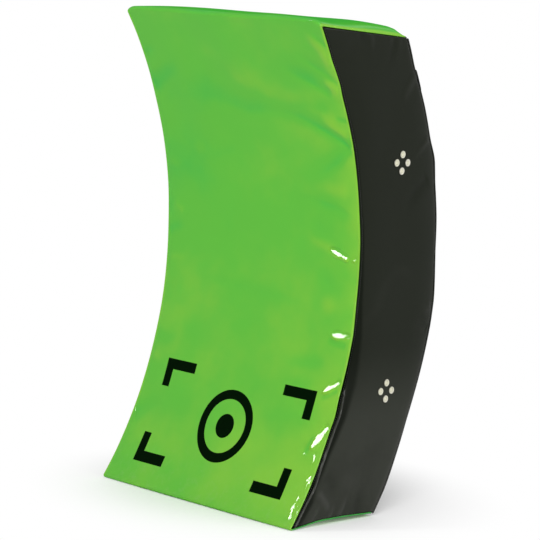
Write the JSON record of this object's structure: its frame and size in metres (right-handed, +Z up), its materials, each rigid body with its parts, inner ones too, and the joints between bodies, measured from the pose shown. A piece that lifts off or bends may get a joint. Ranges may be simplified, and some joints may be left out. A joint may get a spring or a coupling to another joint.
{
  "type": "tackle shield",
  "caption": "Curved foam tackle shield in a sewn vinyl cover, with side air vents, two padded grab handles and a zip across its back.",
  "frame": {"origin": "middle of the bounding box at the height of the flat base, with the handles counted in the box", "axes": "+Z up the standing shield, -Y out of the hollow strike face, +Y out of the back with the handles, +X across it"},
  "size_m": [0.4468, 0.3521, 0.7905],
  "materials": {
    "green_vinyl": "glossy coated fabric",
    "black_vinyl": "satin coated fabric",
    "cream_foam": "open-cell foam",
    "ivory_eyelet": "smooth ivory enamel",
    "black_webbing": "woven",
    "black_tape": "woven",
    "black_nylon": "satin",
    "plated_metal": "nickel plated"
  },
  "bodies": {
    "shield": {"foam_front_layer": "cream_foam", "foam_core": "cream_foam", "foam_rear_layer": "cream_foam", "green_cover": "green_vinyl", "side_panel_left": "black_vinyl", "side_panel_right": "black_vinyl", "back_panel": "black_vinyl", "back_panel_top_strip": "black_vinyl", "vent_patch_left_upper": "black_vinyl", "vent_patch_left_lower": "black_vinyl", "vent_patch_right_upper": "black_vinyl", "vent_patch_right_lower": "black_vinyl", "eyelet_left_upper_1": "ivory_eyelet", "eyelet_left_upper_2": "ivory_eyelet", "eyelet_left_upper_3": "ivory_eyelet", "eyelet_left_upper_4": "ivory_eyelet", "eyelet_left_lower_1": "ivory_eyelet", "eyelet_left_lower_2": "ivory_eyelet", "eyelet_left_lower_3": "ivory_eyelet", "eyelet_left_lower_4": "ivory_eyelet", "eyelet_right_upper_1": "ivory_eyelet", "eyelet_right_upper_2": "ivory_eyelet", "eyelet_right_upper_3": "ivory_eyelet", "eyelet_right_upper_4": "ivory_eyelet", "eyelet_right_lower_1": "ivory_eyelet", "eyelet_right_lower_2": "ivory_eyelet", "eyelet_right_lower_3": "ivory_eyelet", "eyelet_right_lower_4": "ivory_eyelet", "zip_tape_upper": "black_tape", "zip_tape_lower": "black_tape", "zip_coil_upper": "black_nylon", "zip_coil_lower": "black_nylon", "zip_stop_left": "plated_metal", "zip_stop_right": "plated_metal", "zip_end_tab_left": "black_vinyl", "zip_end_tab_right": "black_vinyl", "handle_upper_patch_left": "black_vinyl", "handle_upper_patch_right": "black_vinyl", "handle_upper_tab_left": "black_webbing", "handle_upper_tab_right": "black_webbing", "handle_lower_patch_left": "black_vinyl", "handle_lower_patch_right": "black_vinyl", "handle_lower_tab_left": "black_webbing", "handle_lower_tab_right": "black_webbing"},
    "zip_slider": {"zip_slider": "plated_metal"},
    "zip_pull": {"zip_pull": "plated_metal"},
    "handle_upper": {"handle_upper_leg_left": "black_webbing", "handle_upper_leg_right": "black_webbing", "handle_upper_webbing": "black_webbing", "handle_upper_grip_foam": "cream_foam", "handle_upper_grip_sleeve": "black_vinyl"},
    "handle_lower": {"handle_lower_leg_left": "black_webbing", "handle_lower_leg_right": "black_webbing", "handle_lower_webbing": "black_webbing", "handle_lower_grip_foam": "cream_foam", "handle_lower_grip_sleeve": "black_vinyl"}
  },
  "joints": [
    {"name": "zip_slide", "type": "slide", "parent": "shield", "child": "zip_slider", "axis": [1, 0, 0], "range_m": [-0.35, 0]},
    {"name": "zip_pull_flip", "type": "hinge", "parent": "zip_slider", "child": "zip_pull", "pos_m": [0.175, 0.06051, 0.7067], "axis": [0, 0.435, -0.9004], "range_deg": [0, 180]},
    {"name": "handle_upper_swing", "type": "hinge", "parent": "shield", "child": "handle_upper", "pos_m": [0, 0.12031, 0.54058], "axis": [1, 0, 0], "range_deg": [-50, 50], "stiffness_Nm_per_rad": 0.12, "deforming": ["handle_upper_leg_left", "handle_upper_leg_right"]},
    {"name": "handle_lower_swing", "type": "hinge", "parent": "shield", "child": "handle_lower", "pos_m": [0, 0.12079, 0.23942], "axis": [1, 0, 0], "range_deg": [-50, 50], "stiffness_Nm_per_rad": 0.12, "deforming": ["handle_lower_leg_left", "handle_lower_leg_right"]}
  ]
}
